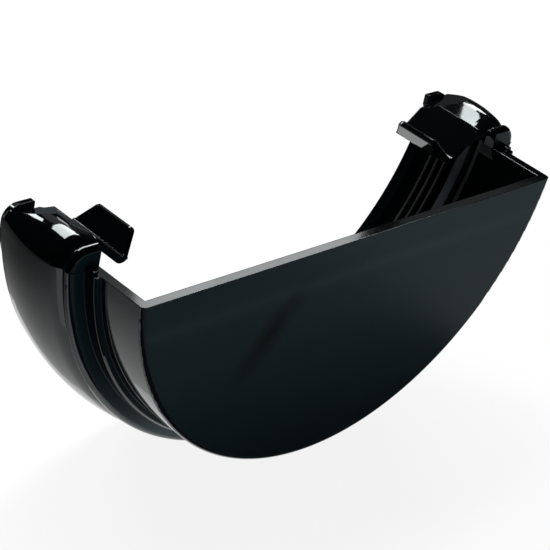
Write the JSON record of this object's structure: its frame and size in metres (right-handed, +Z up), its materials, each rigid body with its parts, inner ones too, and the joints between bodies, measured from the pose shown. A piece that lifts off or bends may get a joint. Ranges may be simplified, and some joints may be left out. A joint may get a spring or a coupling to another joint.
{
  "type": "gutter end cap",
  "caption": "Half-round gutter end cap: flat end plate, short round wall, raised seal band with a ribbed rubber strip inside, and a snap clip with a thumb paddle at each rim.",
  "frame": {"origin": "middle of the rim line, in the plane of the end plate's inner face where the gutter's end stops", "axes": "+X across the gutter, +Y along the gutter out of the cap's open side, +Z up"},
  "size_m": [0.1282, 0.0364, 0.0627],
  "materials": {
    "body_plastic": "glossy black moulded uPVC",
    "seal_rubber": "satin black EPDM"
  },
  "bodies": {
    "root": {"cap_body": "body_plastic", "ribbed_seal": "seal_rubber"}
  },
  "joints": []
}
